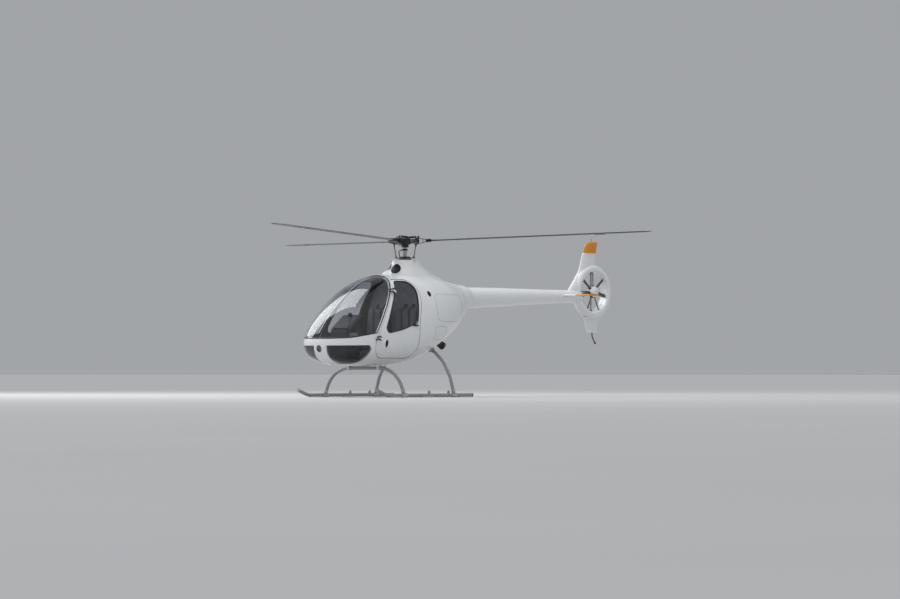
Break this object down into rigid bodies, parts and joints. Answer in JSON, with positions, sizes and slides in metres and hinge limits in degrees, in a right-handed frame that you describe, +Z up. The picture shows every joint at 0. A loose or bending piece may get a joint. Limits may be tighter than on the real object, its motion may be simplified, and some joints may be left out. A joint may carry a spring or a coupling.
{
  "type": "light two-seat helicopter",
  "caption": "Light helicopter with a bubble cabin, hinged doors, a bladed main rotor, a slim tail boom with a shrouded tail fan and a tubular skid gear.",
  "frame": {"origin": "on the floor under the main rotor's mast axis, at the parking point", "axes": "+X towards the nose, +Y to the port side, +Z up along the mast"},
  "size_m": [8.0697, 6.1289, 2.4266],
  "materials": {
    "white_paint": "glossy",
    "yellow_paint": "glossy",
    "dark_metal": "satin",
    "blade_paint": "satin",
    "steel_tube": "satin",
    "bare_steel": "satin",
    "aluminium": "satin",
    "glazing": "glossy",
    "lamp": "glossy",
    "black_plastic": "matte",
    "grey_plastic": "matte",
    "seat_leather": "satin",
    "exhaust_steel": "matte",
    "cast_engine": "matte"
  },
  "bodies": {
    "fuselage": {"nose_tub": "white_paint", "cabin_roof": "white_paint", "windscreen": "glazing", "chin_windows": "glazing", "landing_light": "lamp", "bulkhead": "grey_plastic", "cabin_floor": "grey_plastic", "rear_fuselage": "white_paint", "exhaust_pipe": "exhaust_steel", "engine_block": "cast_engine", "pylon_fairing": "white_paint", "inlet_screens": "black_plastic", "mast_housing": "aluminium", "swashplate_fixed": "dark_metal", "tail_boom": "white_paint", "fan_shroud": "white_paint", "upper_fin": "white_paint", "fin_tip": "yellow_paint", "ventral_fin": "white_paint", "tail_skid": "bare_steel", "fan_struts": "dark_metal", "stabilizer": "white_paint", "stabilizer_tips": "yellow_paint", "skid_tubes": "steel_tube", "cross_tube_front": "steel_tube", "cross_tube_rear": "steel_tube", "skid_shoes": "bare_steel", "gear_saddles": "dark_metal", "seat_base": "grey_plastic", "seat_pads": "seat_leather", "instrument_panel": "black_plastic", "flight_controls": "dark_metal", "hinge_brackets": "dark_metal"},
    "main_rotor": {"rotor_mast": "bare_steel", "swashplate_turning": "dark_metal", "rotor_hub": "dark_metal", "blade_grips": "dark_metal", "blade_1": "blade_paint", "blade_2": "blade_paint", "blade_3": "blade_paint", "pitch_links": "bare_steel", "lag_dampers": "dark_metal"},
    "tail_fan": {"fan_hub": "white_paint", "fan_blades": "black_plastic"},
    "left_door": {"door_left": "white_paint", "door_window_left": "glazing", "door_handle_left": "black_plastic"},
    "right_door": {"door_right": "white_paint", "door_window_right": "glazing", "door_handle_right": "black_plastic"}
  },
  "joints": [
    {"name": "main_rotor_spin", "type": "hinge", "parent": "fuselage", "child": "main_rotor", "pos_m": [0, 0, 2.1], "axis": [0, 0, -1], "continuous": true},
    {"name": "tail_fan_spin", "type": "hinge", "parent": "fuselage", "child": "tail_fan", "pos_m": [-4.145, 0, 1.595], "axis": [0, 1, 0], "continuous": true},
    {"name": "left_door_hinge", "type": "hinge", "parent": "fuselage", "child": "left_door", "pos_m": [1.185, 0.662, 0.839], "axis": [0.525, 0.1969, -0.828], "range_deg": [0, 75]},
    {"name": "right_door_hinge", "type": "hinge", "parent": "fuselage", "child": "right_door", "pos_m": [1.185, -0.662, 0.839], "axis": [-0.525, 0.1969, 0.828], "range_deg": [0, 75]}
  ]
}
